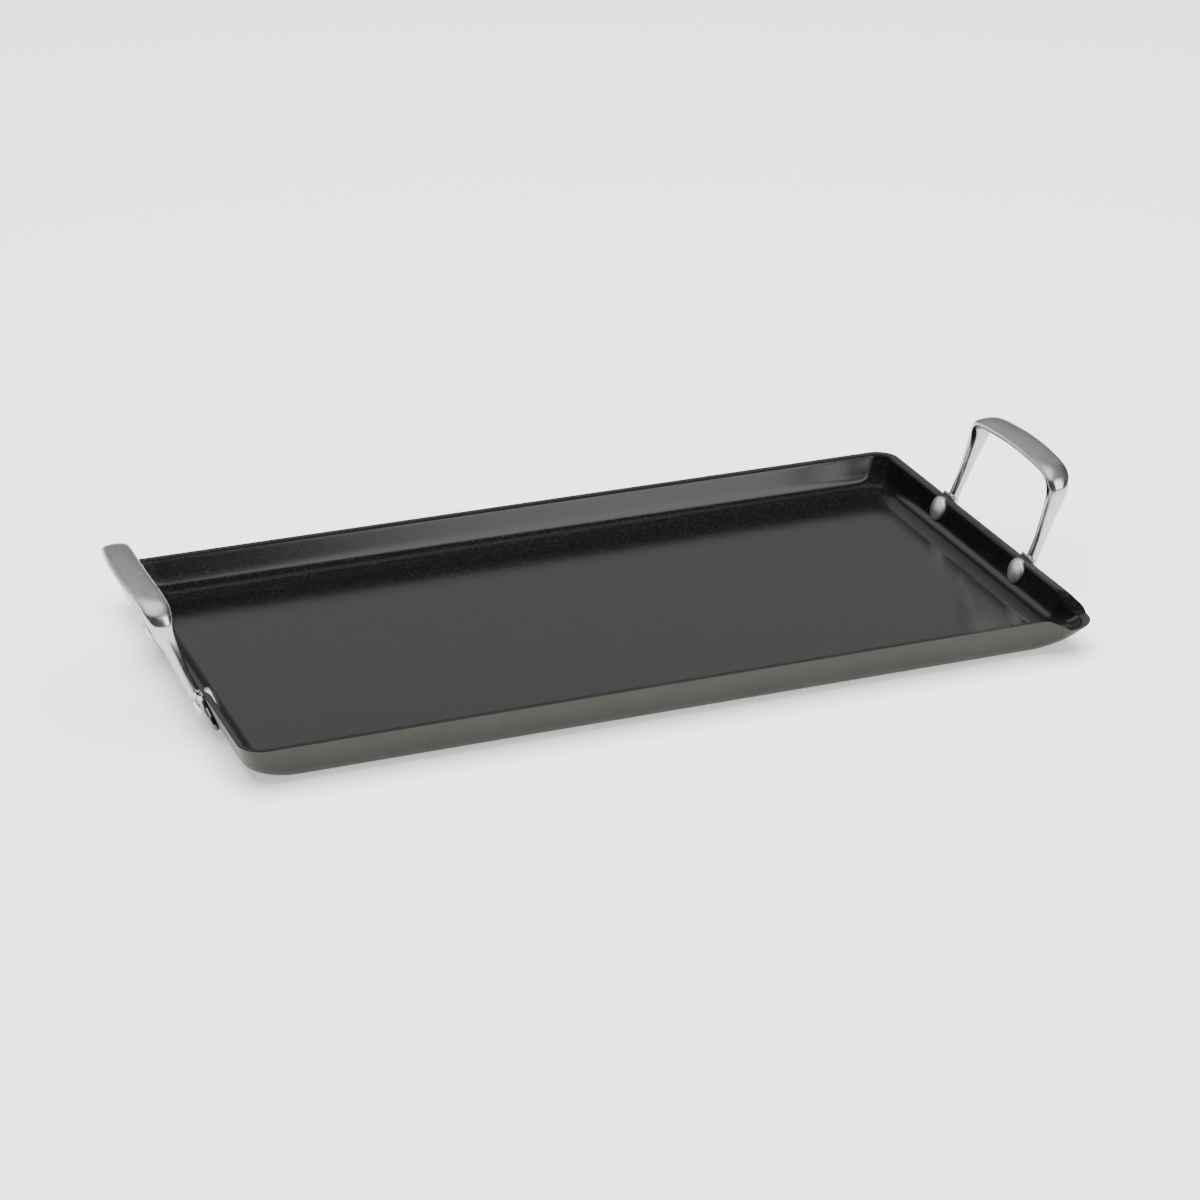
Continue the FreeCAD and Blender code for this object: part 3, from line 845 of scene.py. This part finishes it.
def make_studio():
    half = 6.0
    below = -0.1 * MM      # clear of the pan's base, which lies at zero
    corners = [(-half, -half, below), (half, -half, below), (half, half, below), (-half, half, below)]
    floor = new_object("floor", corners, [(0, 1, 2, 3)])
    floor.data.materials.append(pale_floor())

    world = bpy.data.worlds.new("studio")
    world.use_nodes = True
    bpy.context.scene.world = world
    tree = world.node_tree
    tree.nodes.clear()
    glow = add(tree, "ShaderNodeBackground", {"Color": (0.10, 0.10, 0.10, 1.0), "Strength": 1.0})
    add(tree, "ShaderNodeOutputWorld", {}, {"Surface": glow})

    lamps = {}
    for name, place, target, width, height, power, reflected in SOFTBOXES:
        lamp = bpy.data.lights.new(name, "AREA")
        lamp.shape = "RECTANGLE"
        lamp.size = width
        lamp.size_y = height
        lamp.energy = power
        holder = bpy.data.objects.new(name, lamp)
        holder.location = place
        aim = Vector(target) - Vector(place)
        holder.rotation_euler = aim.to_track_quat("-Z", "Y").to_euler()
        holder.visible_glossy = reflected
        bpy.context.scene.collection.objects.link(holder)
        lamps[name] = holder
    return lamps


def make_camera():
    """Long lens, from the front left and above."""
    azimuth = math.radians(-21.2)
    elevation = math.radians(23.89)
    distance = 1.876
    target = Vector((3.9, 6.1, 12.1)) * MM
    back = Vector((math.sin(azimuth) * math.cos(elevation),
                   -math.cos(azimuth) * math.cos(elevation),
                   math.sin(elevation)))
    right = Vector((math.cos(azimuth), math.sin(azimuth), 0.0))
    up = back.cross(right)
    camera = bpy.data.cameras.new("camera")
    camera.lens = 106.4
    camera.sensor_width = 36.0
    camera.clip_end = 50.0
    holder = bpy.data.objects.new("camera", camera)
    place = target + back * distance
    holder.matrix_world = Matrix.Translation(place) @ Matrix((right, up, back)).transposed().to_4x4()
    bpy.context.scene.collection.objects.link(holder)
    bpy.context.scene.camera = holder


# ---- assembly -----------------------------------------------------------------------
def main():
    make_camera()
    lamps = make_studio()
    steel = cast_stainless()
    rivet_steel = headed_rivet()

    body = make_pan_body()
    outward(body)
    finish_mesh(body, 50)
    hand_in(body, hard_anodised(), "anodised_aluminium", "pan_body")

    coating = make_coating()
    outward(coating)
    finish_mesh(coating, 50)
    hand_in(coating, sprayed_nonstick(), "nonstick", "nonstick_coating")

    right = make_handle(steel)
    left = mirrored("handle_left", right)
    for handle, node in ((right, "right_handle"), (left, "left_handle")):
        finish_mesh(handle, 180)
        hand_in(handle, steel, "cast_stainless", node)

    rivets = make_rivets(rivet_steel)
    finish_mesh(rivets, 60)
    nodes = [f"rivet_{side}_{place}" for side in ("left", "right") for place in ("front", "back")]
    hand_in(rivets, rivet_steel, "rivet_metal", *nodes)

    # the steel is lit by a box of its own, flagged off the pan so that the nonstick stays dark
    lit = bpy.data.collections.new("lit_steel")
    for piece in (right, left, rivets):
        lit.objects.link(piece)
    for name in ("steel_box", "steel_side"):
        lamps[name].light_linking.receiver_collection = lit


main()
